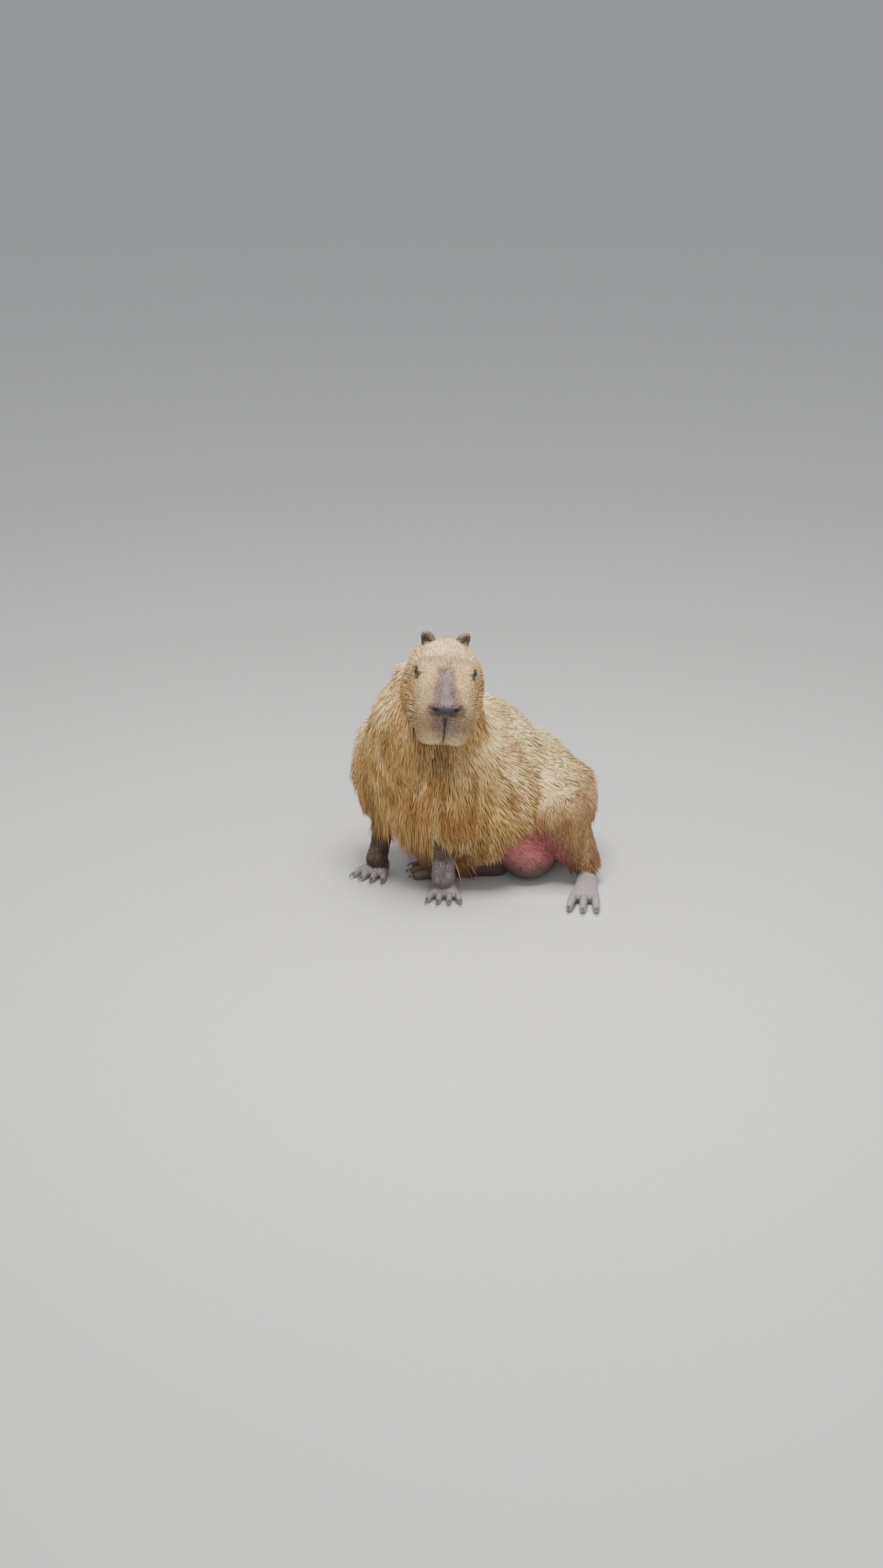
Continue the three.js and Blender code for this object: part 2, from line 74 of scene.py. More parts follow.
# %% [markdown]
# ## Sizes and places
#
# All lengths are in metres. The head has a frame of its own: forward to the nose, to the
# animal's left, and up. The coat and the colours of the face are laid out in that frame,
# because nose, brow and lips keep their places on a head whichever way it looks.

# %% Named sizes
BODY_SHIFT = Vector((-0.25619, -0.15193, 0.0))  # moves places measured from the right forefoot
NAPE = Vector((0.186, 0.036, 0.626)) + BODY_SHIFT
HEAD_TURN, HEAD_DIP, HEAD_ROLL = math.radians(38), math.radians(13), math.radians(3.5)
NOSE_TIP = Vector((0.262, 0, 0.01))
EYE_AHEAD, EYE_ASIDE, EYE_HIGH = 0.127, 0.066, 0.039
EYE_RADIUS = 0.0112
BROW_AHEAD = 0.118
PAD_AHEAD, PAD_HIGH, PAD_SLOPE = 0.25, 0.014, 0.6
MOUTH_HIGH, MOUTH_CURL = -0.086, 0.016  # the line's height in front, and how far it climbs
GROIN = np.array(Vector((0.318, 0.232, 0.074)) + BODY_SHIFT)
GROIN_SHIFT, GROIN_HALF = np.array([-0.02, -0.03, 0.02]), np.array([0.142, 0.135, 0.14])
HIP, HIP_REACH = np.array([0.06, 0.25, 0.29]), 0.075
SHIN_OUTER = np.array([0.788, 0.616, 0.0])  # which way the left shin's outer side faces
SKIN_STEP, TRUNK_STEP = 0.0031, 0.012
LONG_COATED = ("torso", "neck", "upper_arm", "thigh")
CHANCE = np.random.default_rng(17)

head_frame = (
    Matrix.Translation(NAPE)
    @ Matrix.Rotation(HEAD_TURN - math.pi / 2, 4, "Z")
    @ Matrix.Rotation(HEAD_DIP, 4, "Y")
    @ Matrix.Rotation(-HEAD_ROLL, 4, "X")
)
HEAD_IN = np.array(head_frame.inverted())
HEAD_AXES = np.array(head_frame.to_3x3())
print("the nose is at", [round(v, 3) for v in head_frame @ NOSE_TIP])


# %% Rules used all over
def in_head(points):
    """Places of points in the head's own frame."""
    return points @ HEAD_IN[:3, :3].T + HEAD_IN[:3, 3]


def soft_step(low, high, value):
    """0 below low, 1 above high and smooth between."""
    t = np.clip((value - low) / (high - low), 0, 1)
    return t * t * (3 - 2 * t)


def hump(value, middle, width, power=2):
    """1 at the middle and fading to 0 over the width, flatter on top for a higher power."""
    return np.exp(-(np.abs((value - middle) / width) ** power))


def unit(vectors):
    """Vectors made one long."""
    return vectors / np.maximum(np.linalg.norm(vectors, axis=1, keepdims=True), 1e-9)


def laid_flat(directions, outward):
    """Unit directions, laid flat against surfaces that face outward."""
    return unit(directions - outward * (directions * outward).sum(1, keepdims=True))


def pad_level(ahead, high):
    """Heights on the nose, taken level along the pad's slope."""
    return high - PAD_SLOPE * (ahead - PAD_AHEAD)


def mouth_level(ahead):
    """The height of the mouth's line, which climbs towards the cheek."""
    return MOUTH_HIGH + MOUTH_CURL * soft_step(0.235, 0.165, ahead)


def at_hip(places):
    """1 on the left hip and fading to 0 around it."""
    return hump(np.linalg.norm(places - HIP, axis=1), 0, HIP_REACH, 4)


def bare_groin(places):
    """1 on the bare skin between belly and left thigh, 0 elsewhere."""
    away = (places - GROIN - GROIN_SHIFT) / GROIN_HALF
    return soft_step(1.12, 0.92, np.linalg.norm(away, axis=1))


print("the groin's bare skin reaches", GROIN_HALF.tolist(), "from its middle")

# %% [markdown]
# ## One skin
#
# A living animal has one skin over neck, trunk and legs. It could be one sculpted mesh, or the
# parts' own forms grown together. Growing them together keeps every proportion of the solids:
# the trunk is closed over at a coarse step first, which takes off its large locks, since they are
# made again as fine tufts. Then everything is closed over at a fine step and relaxed, the face
# and feet least.

# %% Grow the parts together
FLESH = sorted(n for n in nodes if "claw" not in n and "_eye" not in n)


def copy_of(name):
    """A new object with a copy of one solid's mesh."""
    made = bpy.data.objects.new("copy_" + name, nodes[name].data.copy())
    bpy.context.scene.collection.objects.link(made)
    return made


def choose(objects, active):
    """Selects these objects alone and makes one active."""
    bpy.ops.object.select_all(action="DESELECT")
    for item in objects:
        item.select_set(True)
    bpy.context.view_layer.objects.active = active


def grown(objects, step):
    """One object from several: joined, and closed over at a step."""
    choose(objects, objects[0])
    bpy.ops.object.join()
    whole = bpy.context.view_layer.objects.active
    remesh = whole.modifiers.new("grow", "REMESH")
    remesh.mode = "VOXEL"
    remesh.voxel_size = step
    bpy.ops.object.modifier_apply(modifier=remesh.name)
    return whole


SHAGGY = [n for n in FLESH if any(word in n for word in LONG_COATED)]
trunk = grown([copy_of(name) for name in SHAGGY], TRUNK_STEP)
calming = trunk.modifiers.new("calm", "SMOOTH")
calming.factor = 0.6
calming.iterations = 9
bpy.ops.object.modifier_apply(modifier=calming.name)
skin = grown([trunk] + [copy_of(name) for name in FLESH if name not in SHAGGY], SKIN_STEP)
skin.name = "skin"
skin.data.materials.clear()
print("skin points:", len(skin.data.vertices))


# %% Which part each place of the skin belongs to
def nearest_part():
    """A tree over all the solids' faces, and the part each face belongs to."""
    corners, faces, owner = [], [], []
    for index, name in enumerate(FLESH):
        mesh = nodes[name].data
        first = len(corners)
        corners.extend(v.co.copy() for v in mesh.vertices)
        for polygon in mesh.polygons:
            faces.append([first + v for v in polygon.vertices])
            owner.append(index)
    return BVHTree.FromPolygons(corners, faces), np.array(owner)


def read_points(mesh, field="co"):
    """The places of a mesh's points, or another field of theirs, such as normal."""
    flat = np.empty(len(mesh.vertices) * 3)
    mesh.vertices.foreach_get(field, flat)
    return flat.reshape(-1, 3)


tree, owner = nearest_part()
points = read_points(skin.data)
label = np.array([owner[tree.find_nearest(Vector(p))[2]] for p in points])
print("parts on the skin:", {FLESH[i]: int((label == i).sum()) for i in range(len(FLESH))})


def named(*words):
    """The numbers of the parts whose names hold one of the words."""
    return [i for i, name in enumerate(FLESH) if any(word in name for word in words)]


def on_parts(*words):
    """True for each skin point whose part's name holds one of the words."""
    return np.isin(label, named(*words))


# %% [markdown]
# Relaxing moves each point towards the middle of its neighbours. How far it goes is set for each
# point, so that toes, lips and lids keep their edges while the trunk becomes one calm form.

# %% Relax
OTHER_CALM = 0.55
CALM_OF_PARTS = (
    (LONG_COATED, 0.98),
    (("head",), 0.2),
    (("_ear",), 0.05),
    (("foot",), 0.12),
    (("forearm",), 0.5),
)
CALM_TURNS, JOINT_TURNS = 60, 200
JOINT_SPREAD = 160  # a joint between two parts is felt at most this many neighbours away
RELAXED_FLOOR, SKIN_FLOOR = 0.0005, 0.0008
UNDER_LONG_COAT, UNDER_SHORT_COAT = 0.007, 0.002

edges = np.empty(len(skin.data.edges) * 2, dtype=np.int64)
skin.data.edges.foreach_get("vertices", edges)
edges = edges.reshape(-1, 2)
meets = np.bincount(edges.ravel(), minlength=len(points)).astype(float)


def neighbour_mean(values, turns=1):
    """The mean of each point's neighbours, for one column or several, over some turns."""
    for _ in range(turns):
        columns = values.reshape(len(values), -1)
        total = np.stack(
            [
                np.bincount(edges[:, 0], columns[edges[:, 1], c], len(values))
                + np.bincount(edges[:, 1], columns[edges[:, 0], c], len(values))
                for c in range(columns.shape[1])
            ],
            axis=1,
        )
        values = (total / np.maximum(meets, 1)[:, None]).reshape(values.shape)
    return values


def relax(strength, turns):
    """Moves the points of shaped towards their neighbours by a strength for each point."""
    for _ in range(turns):
        shaped[:] += (neighbour_mean(shaped) - shaped) * (strength * 0.6)[:, None]


def joint_of(*words):
    """High where these parts meet others, and 0 well inside them and well away."""
    part_share = neighbour_mean(on_parts(*words).astype(float), JOINT_SPREAD)
    return 4 * part_share * (1 - part_share)


def set_shape():
    """Gives the skin the places in shaped, and returns its normals."""
    skin.data.vertices.foreach_set("co", shaped.ravel())
    skin.data.update()
    return read_points(skin.data, "normal")


calm = np.full(len(points), OTHER_CALM)
for words, strength in CALM_OF_PARTS:
    calm[on_parts(*words)] = strength
shaped = points.copy()
relax(neighbour_mean(calm, 6), CALM_TURNS)
neck_joint = joint_of("neck") * ~on_parts("head", "_ear", "foot")
limb_joint = joint_of("upper_arm", "thigh") * on_parts("torso", "upper_arm", "thigh")
relax(np.maximum(neck_joint, limb_joint), JOINT_TURNS)
shaped[:, 2] = np.maximum(shaped[:, 2], RELAXED_FLOOR)
normals = set_shape()
depth = np.where(on_parts(*LONG_COATED), UNDER_LONG_COAT, 0.0)
depth = np.where(on_parts("head", "shank", "forearm"), UNDER_SHORT_COAT, depth)
depth = neighbour_mean(depth, 8)
shaped -= normals * depth[:, None]
shaped[:, 2] = np.maximum(shaped[:, 2], SKIN_FLOOR)
print("skin sinks under the coat by up to", round(float(depth.max()), 4))

# %% [markdown]
# ## The face
#
# The eyes are small and stand high on the sides of a long blunt head. Soft lids wrap them, the
# brow is wrinkled, and the bare bump on the snout is the scent gland of a grown male. The folds
# are pressed into the skin as smooth waves and dents, and the numbers below say how deep or high
# each one is.

# %% Lids, brow and snout
LID_RISE, LID_RADIUS, LID_WIDTH = 0.0026, 0.0125, 0.0034
SLIT_DEPTH, SLIT_RADIUS, SLIT_STRETCH = 0.005, 0.0085, 1.25
WRINKLE_RISE, WRINKLES_A_METRE = 0.0014, 520
GLAND_RISE, GLAND_AHEAD = 0.002, 0.186
PAD_RISE, NOSTRIL_DEPTH, NOSTRIL_ASIDE = 0.0035, 0.008, 0.027
LOBE_RISE, LOBE_ASIDE, LOBE_HIGH = 0.009, 0.024, -0.06
SPLIT_DEPTH, SPLIT_HIGH = 0.006, -0.04
PAD_CREASE_DEPTH, MOUTH_DEPTH = 0.003, 0.0045

local = in_head(shaped)
ahead, aside, high = local.T
on_face = on_parts("head")
push = np.zeros(len(shaped))
EYE_PLACES = [np.array([EYE_AHEAD, side * EYE_ASIDE, EYE_HIGH]) for side in (-1, 1)]
for eye in EYE_PLACES:
    away = local - eye
    round_eye = np.sqrt((away[:, 0] / SLIT_STRETCH) ** 2 + away[:, 2] ** 2)
    near = (np.abs(away[:, 1]) < 0.03) & on_face
    ring = hump(round_eye, LID_RADIUS, LID_WIDTH)
    push += near * (ring * LID_RISE - hump(round_eye, 0, SLIT_RADIUS) * SLIT_DEPTH)

top = soft_step(0.0, 0.03, high) * on_face
brow = hump(ahead, BROW_AHEAD, 0.02) * hump(aside, 0, 0.05)
push += top * brow * np.sin(ahead * WRINKLES_A_METRE) * WRINKLE_RISE
push += top * hump(ahead, GLAND_AHEAD, 0.042, 4) * hump(aside, 0, 0.018, 4) * GLAND_RISE

front = soft_step(0.228, 0.245, ahead) * on_face
level = pad_level(ahead, high)
push += front * hump(level, PAD_HIGH, 0.012, 4) * hump(aside, 0, 0.039, 6) * PAD_RISE
for side in (-1, 1):
    nostril = hump(aside, side * NOSTRIL_ASIDE, 0.0075) * hump(level, PAD_HIGH, 0.0042)
    lobe = hump(aside, side * LOBE_ASIDE, 0.02, 3) * hump(high, LOBE_HIGH, 0.022, 3)
    push += front * (lobe * LOBE_RISE - nostril * NOSTRIL_DEPTH)
push -= front * hump(aside, 0, 0.0035) * hump(high, SPLIT_HIGH, 0.036, 6) * SPLIT_DEPTH
push -= front * hump(level, -0.002, 0.003) * hump(aside, 0, 0.04, 6) * PAD_CREASE_DEPTH
mouth = hump(high, mouth_level(ahead), 0.0035) * soft_step(0.15, 0.175, ahead) * on_face
push -= mouth * MOUTH_DEPTH
shaped += normals * push[:, None]
normals = set_shape()
print("face folds stand up to", round(float(push.max()), 4))

# %% [markdown]
# ## Colours
#
# The crown and the coat that faces up are a pale cream, which is painted sunlight, the sides are
# straw gold, and the coat is orange in patches and on the hip. The lower chest and the throat are
# browner with painted shade, the forearms are almost black-brown down to a grey left wrist, partly
# dark fur and partly painted shade, the feet are a mauve grey, the snout strip and nose are dark
# mauve and the groin is bare and pink, darker near the floor with dark skin and painted shade. One
# rule gives a colour for any place, and skin and coat both ask it.


# %% Colours by name
def linear(hex_colour):
    """A screen colour as light intensities."""
    parts = [int(hex_colour[i : i + 2], 16) / 255 for i in (1, 3, 5)]
    return np.array([c / 12.92 if c <= 0.04045 else ((c + 0.055) / 1.055) ** 2.4 for c in parts])


CREAM = linear("#fbdfa4")
STRAW = linear("#d6ad6a")
GOLD = linear("#b5823f")
# a brown for painted shade on the low chest and painted shadow under the chin
PAINTED_SHADE_BROWN = linear("#7d6142")
ORANGE = linear("#ab6a28")
CHEEK = linear("#bb905a")
MUZZLE = linear("#b09674")
NOSE = linear("#4a4045")
LIMB = linear("#4d3f38")
FOOT = linear("#8b8284")
EAR = linear("#857b7a")
BROW = linear("#b98d70")
THIGH = linear("#b58659")
STREAK = linear("#7a5833")
PINK = linear("#a9625a")
RUMP_DARK_AND_SHADE = linear("#4a3a38")
WRIST = FOOT * 0.85
print("the coat's main colour is", STRAW.round(3).tolist())

# %% One rule for the markings
STRAND_STRETCH = np.array([1.0, 1.0, 0.2])  # makes the strands' pattern long from top to bottom
PATCHES, FINE_PATCHES, STRANDS, CLUMPS = 17, 61, 88, 75  # scales of waves, in radians a metre
THROAT, THROAT_REACH = np.array([0.18, 0, -0.15]), 0.07  # the place is in the head's frame
RIM_OUT, RIM_REACH = 0.002, 0.0138  # the dark rim of an eye lies this far out from the eye


def waves(places, scale, turn):
    """A smooth uneven pattern between -1 and 1 made from crossing waves."""
    a, b, c = places.T * scale
    first = np.sin(a + 1.7 * np.sin(b * 0.7 + turn)) * np.cos(b * 1.3 + turn)
    second = np.sin(c * 1.1 + 1.3 * np.sin(a * 0.9 - turn)) * np.cos(a * 0.6 + b * 0.8)
    return 0.5 * (first + second)


def mixed(colours, other, amount):
    """Colours with another laid over them by an amount from 0 to 1 at each place."""
    return colours + (other - colours) * np.clip(amount, 0, 1)[:, None]


def body_markings(places, outward):
    """The coat's colour by place and by the way the skin faces, one colour over the last."""
    patchy = waves(places, PATCHES, 0.4)
    fine = waves(places, FINE_PATCHES, 1.9)
    up = outward[:, 2]
    colours = np.tile(STRAW, (len(places), 1))
    colours = mixed(colours, GOLD, 0.45 + 0.35 * patchy)
    # painted sunlight: the coat that faces up is laid over with pale cream
    colours = mixed(colours, CREAM * 1.08, soft_step(0.0, 0.7, up + 0.25 * patchy) * 0.92)
    # painted shade: the low coat that faces down is browned
    low = soft_step(0.36, 0.1, places[:, 2]) * soft_step(0.4, -0.3, up)
    colours = mixed(colours, PAINTED_SHADE_BROWN, 0.7 * low)
    strands = waves(places * STRAND_STRETCH, STRANDS, 0.7) * soft_step(0.8, 0.2, up)
    colours = mixed(colours, STREAK, 0.6 * soft_step(0.1, 0.6, -strands))
    colours = mixed(colours, CREAM, 0.5 * soft_step(0.15, 0.6, strands))
    # painted shadow: the throat under the chin is browned
    from_throat = np.linalg.norm(in_head(places) - THROAT, axis=1)
    colours = mixed(colours, PAINTED_SHADE_BROWN, 0.8 * hump(from_throat, 0, THROAT_REACH))
    colours = mixed(colours, ORANGE, 0.4 * soft_step(0.25, 0.8, fine * 0.6 + patchy))
    return mixed(colours, ORANGE, 0.6 * at_hip(places))


def amount_on_head(ahead, aside, high):
    """1 inside the block of space the head fills, 0 away from it."""
    inside = soft_step(-0.01, 0.03, ahead) * soft_step(0.12, 0.1, np.abs(aside))
    return inside * soft_step(-0.14, -0.09, high)


def face_markings(colours, places):
    """Colours with the head's own laid over them: crown, brow, snout, nose, lips and eyes."""
    h = in_head(places)
    ahead, aside, high = h.T
    wide = np.abs(aside)
    on_head = amount_on_head(ahead, aside, high)
    # painted sunlight: the crown is laid over with pale cream
    crown = soft_step(0.125, 0.07, ahead) * soft_step(0.0, 0.045, high)
    crown = crown * soft_step(0.075, 0.032, wide)
    colours = mixed(colours, CHEEK, on_head * 0.6)
    colours = mixed(colours, CREAM * 1.05, on_head * crown)
    brow = hump(ahead, BROW_AHEAD, 0.012) * hump(aside, 0, 0.062, 4)
    colours = mixed(colours, BROW, on_head * brow * soft_step(0.0, 0.02, high) * 0.75)
    colours = mixed(colours, MUZZLE, on_head * soft_step(0.15, 0.24, ahead) * 0.6)

    strip_half = 0.022 + 0.012 * soft_step(0.17, 0.24, ahead)
    strip = hump(aside, 0, strip_half, 4) * soft_step(0.128, 0.145, ahead)
    strip = strip * soft_step(-0.01, 0.012, high)
    colours = mixed(colours, NOSE * 1.6, on_head * strip * 0.85)

    under_nose = soft_step(0.235, 0.244, ahead) * hump(aside, 0, 0.041, 6)
    under_nose = under_nose * soft_step(0.004, -0.004, high)
    lip = under_nose * soft_step(-0.075, -0.03, high) * hump(aside, 0, 0.036, 6)
    colours = mixed(colours, NOSE * 2.6, on_head * lip * 0.6)
    lobes = hump(wide, 0.028, 0.022, 4) * hump(high, -0.068, 0.022, 4)
    lobes = lobes * soft_step(0.21, 0.235, ahead)
    colours = mixed(colours, CREAM * 0.85, on_head * lobes * 0.6)
    pad = soft_step(0.22, 0.23, ahead) * hump(aside, 0, 0.042, 8)
    pad = pad * hump(pad_level(ahead, high), PAD_HIGH, 0.0122, 8)
    colours = mixed(colours, NOSE * 0.45, on_head * pad)

    # painted shade: the lip's split and the mouth's line are darkened in their creases
    split_half = 0.0034 + 0.006 * soft_step(-0.03, 0.004, high)
    split = hump(aside, 0, split_half) * under_nose
    mouth = hump(high, mouth_level(ahead), 0.0045) * soft_step(0.15, 0.18, ahead)
    colours = mixed(colours, NOSE * 0.5, on_head * np.maximum(split, mouth) * 0.85)
    for side in (-1, 1):
        rim = np.array([EYE_AHEAD + RIM_OUT, side * (EYE_ASIDE + RIM_OUT), EYE_HIGH])
        near_eye = hump(np.linalg.norm(h - rim, axis=1), 0, RIM_REACH, 6)
        colours = mixed(colours, NOSE * 0.9, on_head * near_eye * 0.85)
    return colours


def groin_markings(colours, places):
    """Colours with the groin's bare pink, blotched, and darker near the floor: partly dark skin,
    partly painted shade.
    """
    bare = bare_groin(places)
    blotches = waves(places, 120, 0.9) + 0.6 * waves(places, 260, 2.3)
    # darker where the rump meets the floor, partly dark skin and partly painted shade, with dark
    # blotches
    dark = soft_step(0.11, 0.035, places[:, 2]) + 0.4 * soft_step(0.0, 1.2, blotches)
    return mixed(mixed(colours, PINK, bare), RUMP_DARK_AND_SHADE, bare * dark)


def markings(places, outward, own_tint, own_amount):
    """The colour at places, given which way the skin faces and the part's own tint."""
    colours = face_markings(body_markings(places, outward), places)
    return groin_markings(mixed(colours, own_tint, own_amount), places)


# %% The tint of each part
PART_TINTS = (
    ("_ear", EAR, 0.9),
    # the forearms' dark brown is partly dark fur and partly painted shade under the chest coat
    ("forearm", LIMB, 0.92),
    ("foot", FOOT, 0.97),
    ("left_thigh", THIGH, 0.5),
)
# painted shade: the face's skin is darkened under its short hair
HEAD_SHADE = 0.76  # the face's skin is darker than the short hair that stands over it


def part_tint():
    """Each skin point's own tint and how strongly it covers the coat's colour."""
    tint = np.tile(STRAW, (len(label), 1))
    amount = np.zeros(len(label))
    for word, colour, strength in PART_TINTS:
        here = on_parts(word)
        tint[here] = colour
        amount[here] = strength
    ear_cup = on_parts("_ear") & (normals @ HEAD_AXES[:, 0] > 0.25)
    tint[ear_cup] = EAR * 0.35
    # grey at the wrist and dark brown higher up, partly dark fur and partly painted shade under the
    # chest coat
    forearm = on_parts("left_forearm")
    tint[forearm] = WRIST + (LIMB - WRIST) * soft_step(0.1, 0.13, points[forearm][:, 2:3])
    # the left shin is darker on its inner side and towards the floor, partly dark fur and partly
    # painted shade
    shin = on_parts("left_shank")
    inner = soft_step(0.15, -0.4, normals[shin] @ SHIN_OUTER)
    darkness = (0.25 + 0.7 * inner) * soft_step(0.26, 0.1, points[shin][:, 2])
    tint[shin] = THIGH + (LIMB - THIGH) * darkness[:, None]
    amount[shin] = 0.55 + 0.4 * darkness
    # the folded right leg under the belly is dark brown, partly dark fur and partly painted shade
    folded_leg = on_parts("right_shank", "right_hind_foot")
    tint[folded_leg] = LIMB * 1.3
    amount[folded_leg] = 0.9
    return neighbour_mean(tint, 5), neighbour_mean(amount, 5)


tint, tint_amount = part_tint()
skin_colours = markings(shaped, normals, tint, tint_amount)
# painted shade darkens the face's skin under its short hair
skin_colours[on_face] *= HEAD_SHADE
print("mean skin colour:", [round(float(c), 3) for c in skin_colours.mean(0)])


# %% [markdown]
# ## Materials
#
# A short class stands for one socket of a material's node tree, so that a look can be written
# as a line of arithmetic. The colour of each place comes from the markings, kept with the mesh,
# and a small noise breaks it up so that no two hairs are quite alike.


# %% Node arithmetic
class Wire:
    """One output of a node, which adds, takes away and multiplies like a number."""

    def __init__(self, tree, socket):
        self.tree = tree
        self.socket = socket

    def node(self, kind, settings=None, values=None, out=0):
        """Any node: its type, then its settings, then its socket values or links."""
        made = self.tree.nodes.new(kind)
        for key, value in (settings or {}).items():
            setattr(made, key, value)
        for key, value in (values or {}).items():
            if isinstance(value, Wire):
                self.tree.links.new(value.socket, made.inputs[key])
            else:
                made.inputs[key].default_value = value
        return Wire(self.tree, made.outputs[out])

    def math(self, operation, a, b):
        """A Math node on two wires or numbers."""
        return self.node("ShaderNodeMath", {"operation": operation}, {0: a, 1: b})

    def __add__(self, other):
        return self.math("ADD", self, other)

    def __radd__(self, other):
        return self.math("ADD", other, self)

    def __sub__(self, other):
        return self.math("SUBTRACT", self, other)

    def __rsub__(self, other):
        return self.math("SUBTRACT", other, self)

    def __mul__(self, other):
        return self.math("MULTIPLY", self, other)

    def __rmul__(self, other):
        return self.math("MULTIPLY", other, self)


# %% Materials by name
HORN = (0.147, 0.122, 0.125)
EYE_BLACK = (0.012, 0.007, 0.005)
FLOOR_PALE = (0.62, 0.61, 0.58)
OBJECT_PLACE = 3  # the Texture Coordinate node's output for places on the object


def new_material(name, roughness):
    """A material, its shader, and a wire to start its nodes from."""
    material = bpy.data.materials.new(name)
    material.use_nodes = True
    shader = material.node_tree.nodes["Principled BSDF"]
    shader.inputs["Roughness"].default_value = roughness
    return material, shader, Wire(material.node_tree, None)


def marked_material(name, roughness, grain, depth):
    """A material that shows the mesh's own markings, with a fine grain in colour and relief."""
    material, shader, start = new_material(name, roughness)
    colour = start.node("ShaderNodeAttribute", {"attribute_name": "markings"})
    place = start.node("ShaderNodeTexCoord", out=OBJECT_PLACE)
    noise = start.node("ShaderNodeTexNoise", values={"Vector": place, "Scale": grain, "Detail": 3.0})
    shade = 0.78 + 0.44 * noise
    toned = start.node(
        "ShaderNodeVectorMath", {"operation": "SCALE"}, {"Vector": colour, "Scale": shade}
    )
    relief = start.node(
        "ShaderNodeBump", values={"Height": noise, "Strength": 0.6, "Distance": depth}
    )
    start.tree.links.new(toned.socket, shader.inputs["Base Color"])
    start.tree.links.new(relief.socket, shader.inputs["Normal"])
    return material


def plain_material(name, colour, roughness, coat=0.0):
    """A material of one colour, with a clear coat if asked."""
    material, shader, _ = new_material(name, roughness)
    shader.inputs["Base Color"].default_value = (*colour, 1.0)
    shader.inputs["Coat Weight"].default_value = coat
    return material


skin_material = marked_material("bare_and_short_coat", roughness=0.72, grain=210.0, depth=0.0012)
hair_material = marked_material("coarse_hair", roughness=0.62, grain=90.0, depth=0.0004)
horn = plain_material("claw_horn", HORN, roughness=0.45)
eye_dark = plain_material("eye", EYE_BLACK, roughness=0.06, coat=1.0)
print("materials:", [m.name for m in bpy.data.materials])


# %% Dress the skin
def keep_markings(mesh, colours):
    """Stores a colour for every point of a mesh."""
    layer = mesh.attributes.new("markings", "FLOAT_COLOR", "POINT")
    with_alpha = np.concatenate([colours, np.ones((len(colours), 1))], axis=1)
    layer.data.foreach_set("color", with_alpha.astype(np.float32).ravel())


keep_markings(skin.data, skin_colours)
skin.data.materials.append(skin_material)
skin.data.polygons.foreach_set("use_smooth", [True] * len(skin.data.polygons))
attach(skin, "root")
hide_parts(*FLESH)
print("the skin stands for", len(FLESH), "solids")

# %% [markdown]
# ## A flat map of the skin
#
# Each tuft later is given the place of its root on a flat map of the skin, so the
# skin is cut into charts and laid out flat once, by its own shape.

# %% Unwrap
CHART_ANGLE, CHART_MARGIN = math.radians(66), 0.002

skin.data.uv_layers.new(name="OFBake")
choose([skin], skin)
bpy.ops.object.mode_set(mode="EDIT")
bpy.ops.mesh.select_all(action="SELECT")
bpy.ops.uv.smart_project(angle_limit=CHART_ANGLE, island_margin=CHART_MARGIN)
bpy.ops.object.mode_set(mode="OBJECT")
skin.data.calc_loop_triangles()
count = len(skin.data.loop_triangles)
tri_points = np.empty(count * 3, dtype=np.int64)
tri_loops = np.empty(count * 3, dtype=np.int64)
skin.data.loop_triangles.foreach_get("vertices", tri_points)
skin.data.loop_triangles.foreach_get("loops", tri_loops)
tri_points, tri_loops = tri_points.reshape(-1, 3), tri_loops.reshape(-1, 3)
flat_map = np.empty(len(skin.data.loops) * 2)
skin.data.uv_layers["OFBake"].uv.foreach_get("vector", flat_map)
flat_map = flat_map.reshape(-1, 2)
print("skin triangles:", count)

# %% [markdown]
# ## The lie of the coat
#
# Hair on a capybara is coarse and sparse. It lies back from the nose over the head, down the neck
# and chest, and back and down over the flanks. The direction at a place is a plain rule, laid
# flat against the skin there.

# %% Which way the hair points
DOWN_CHEST = np.array([0.05, 0.12, -1.0])
DOWN_FLANK = np.array([0.42, 0.72, -0.5])
DOWN_THIGH = np.array([0.45, 0.3, -0.7])
LIE_BLUR, STRAY = 26, 0.14


def lie_of(places):
    """Directions in which the hair points, before they are laid flat on the skin."""
    lie = np.tile(DOWN_CHEST, (len(places), 1))
    on_torso, on_thigh = on_parts("torso"), on_parts("thigh")
    rear = soft_step(-0.16, 0.02, places[:, 1])
    lie[on_torso] = DOWN_CHEST + (DOWN_FLANK - DOWN_CHEST) * rear[on_torso][:, None]
    lie[on_thigh] = DOWN_THIGH
    height = in_head(places)[on_face][:, 2:3]
    lie[on_face] = -HEAD_AXES[:, 0] + HEAD_AXES[:, 2] * (6.0 * height - 0.35)
    return lie


outward_calm = unit(neighbour_mean(normals, LIE_BLUR))
flow = neighbour_mean(lie_of(shaped), LIE_BLUR)
flow += STRAY * np.stack([waves(shaped, 23, k * 1.3) for k in range(3)], axis=1)
flow = laid_flat(flow, outward_calm)
print("lie of the coat set at", len(flow), "points")

# %% [markdown]
# ## Tufts
#
# A tuft is a thin three-sided blade that starts just under the skin, leans along the lie, bends
# towards the ground and ends in a point. Many thousands are made at once as joined meshes. Long
# ones cover neck, trunk, thighs and jowls, and shorter ones the shanks, forearms, face, ears and
# groin.

# %% Make tufts over chosen parts
# Each row of a tuft: how far along, its width, its height above the skin and its shade, which
# darkens the tuft towards its root as painted shade deep in the coat
BENT_TUFT = ((0.0, 0.75, 0.0, 0.5), (0.35, 1.0, 0.75, 0.8), (0.72, 0.62, 1.05, 1.0))
SHORT_TUFT = ((0.0, 0.8, 0.0, 0.62), (0.5, 0.9, 0.95, 0.92))
TIP_HIGH, TIP_SHADE = 0.85, 1.15
ROOT_DEPTH, RIDGE = 0.0015, 0.32
HAIR_FLOOR = 0.0012
MAP_PATCH = 0.003
PIECE_TRIANGLES = 190000
GROUNDWARD = np.array([0, 0, -1.0])

